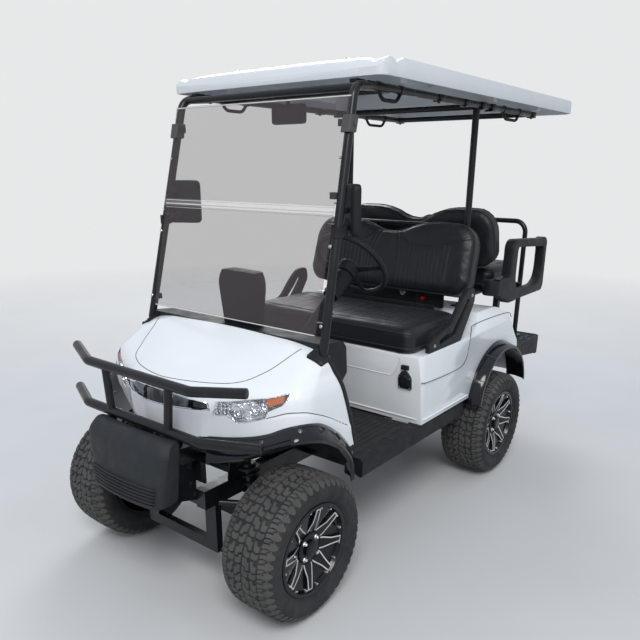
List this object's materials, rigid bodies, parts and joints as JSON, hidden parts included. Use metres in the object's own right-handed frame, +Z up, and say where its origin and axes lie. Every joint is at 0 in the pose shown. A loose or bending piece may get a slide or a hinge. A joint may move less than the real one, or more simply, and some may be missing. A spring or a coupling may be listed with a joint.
{
  "type": "golf cart",
  "caption": "Four-seat golf cart with off-road wheels, folding windscreen, roof, rear-facing rear seat with footrest, brush guard and steerable front wheels",
  "frame": {"origin": "on the ground, under the middle of the cart's bounding box", "axes": "+Z up, the cart faces -Y, +X is the cart's left side"},
  "size_m": [1.278, 2.918, 2.0799],
  "materials": {
    "body_white": "gloss",
    "roof_white": "satin",
    "black_plastic": "satin",
    "black_steel": "satin",
    "bare_steel": "brushed",
    "bright_trim": "polished",
    "lamp_lens": "clear",
    "red_lens": "gloss",
    "floor_rubber": "ribbed",
    "seat_vinyl": "satin",
    "tinted_sheet": "tinted",
    "screen_strip": "satin",
    "cast_parts": "painted",
    "battery_case": "matte",
    "black_rim": "gloss",
    "tyre_rubber": "matte"
  },
  "bodies": {
    "chassis": {"frame": "black_steel", "front_cowl": "body_white", "grille_strip": "bright_trim", "headlamps": "lamp_lens", "front_flares": "black_plastic", "rear_body": "body_white", "rear_flares": "black_plastic", "floor_mat": "floor_rubber", "sills": "black_plastic", "dash": "black_plastic", "front_seat_back": "seat_vinyl", "rear_seat_base": "seat_vinyl", "rear_seat_back": "seat_vinyl", "hip_restraints": "black_plastic", "rear_armrests": "black_plastic", "rear_struts": "black_steel", "rear_frame": "black_steel", "grab_bar": "black_steel", "footrest": "black_plastic", "roof": "roof_white", "roof_frame": "black_steel", "front_posts": "black_steel", "windscreen_lower": "tinted_sheet", "windscreen_upper": "tinted_sheet", "windscreen_strip": "screen_strip", "brush_guard": "black_steel", "front_bumper": "black_plastic", "steering_column": "black_plastic", "pedals": "bare_steel", "side_mirrors": "black_plastic", "cabin_mirror": "black_plastic", "seat_board": "black_plastic", "charger_socket": "black_plastic", "tail_lamps": "red_lens", "suspension_arms": "black_steel", "front_shocks": "black_steel", "rear_axle": "cast_parts", "leaf_springs": "black_steel", "battery_pack": "battery_case"},
    "knuckle_left": {"knuckle_left": "cast_parts"},
    "knuckle_right": {"knuckle_right": "cast_parts"},
    "wheel_front_left": {"rim_front_left": "black_rim", "tyre_front_left": "tyre_rubber"},
    "wheel_front_right": {"rim_front_right": "black_rim", "tyre_front_right": "tyre_rubber"},
    "wheel_rear_left": {"rim_rear_left": "black_rim", "tyre_rear_left": "tyre_rubber"},
    "wheel_rear_right": {"rim_rear_right": "black_rim", "tyre_rear_right": "tyre_rubber"},
    "steering_wheel": {"steering_wheel": "black_plastic"},
    "front_seat_base": {"front_seat_base": "seat_vinyl"}
  },
  "joints": [
    {"name": "steer_left", "type": "hinge", "parent": "chassis", "child": "knuckle_left", "pos_m": [0.385, -1.046, 0.292], "axis": [0, 0, 1], "range_deg": [-25, 25]},
    {"name": "steer_right", "type": "hinge", "parent": "chassis", "child": "knuckle_right", "pos_m": [-0.385, -1.046, 0.292], "axis": [0, 0, 1], "range_deg": [-25, 25]},
    {"name": "wheel_front_left_spin", "type": "hinge", "parent": "knuckle_left", "child": "wheel_front_left", "pos_m": [0.5, -1.046, 0.292], "axis": [1, 0, 0], "continuous": true},
    {"name": "wheel_front_right_spin", "type": "hinge", "parent": "knuckle_right", "child": "wheel_front_right", "pos_m": [-0.5, -1.046, 0.292], "axis": [1, 0, 0], "continuous": true},
    {"name": "wheel_rear_left_spin", "type": "hinge", "parent": "chassis", "child": "wheel_rear_left", "pos_m": [0.512, 0.624, 0.292], "axis": [1, 0, 0], "continuous": true},
    {"name": "wheel_rear_right_spin", "type": "hinge", "parent": "chassis", "child": "wheel_rear_right", "pos_m": [-0.512, 0.624, 0.292], "axis": [1, 0, 0], "continuous": true},
    {"name": "steering_turn", "type": "hinge", "parent": "chassis", "child": "steering_wheel", "pos_m": [0.275, -0.382, 1.268], "axis": [0, 0.788, 0.6157], "range_deg": [-350, 350]},
    {"name": "seat_lid", "type": "hinge", "parent": "chassis", "child": "front_seat_base", "pos_m": [0, -0.24, 0.858], "axis": [1, 0, 0], "range_deg": [0, 45]}
  ],
  "couplings": [
    {"joint": "steer_right", "follows": "steer_left", "ratio": 1},
    {"joint": "steering_turn", "follows": "steer_left", "ratio": 14}
  ]
}
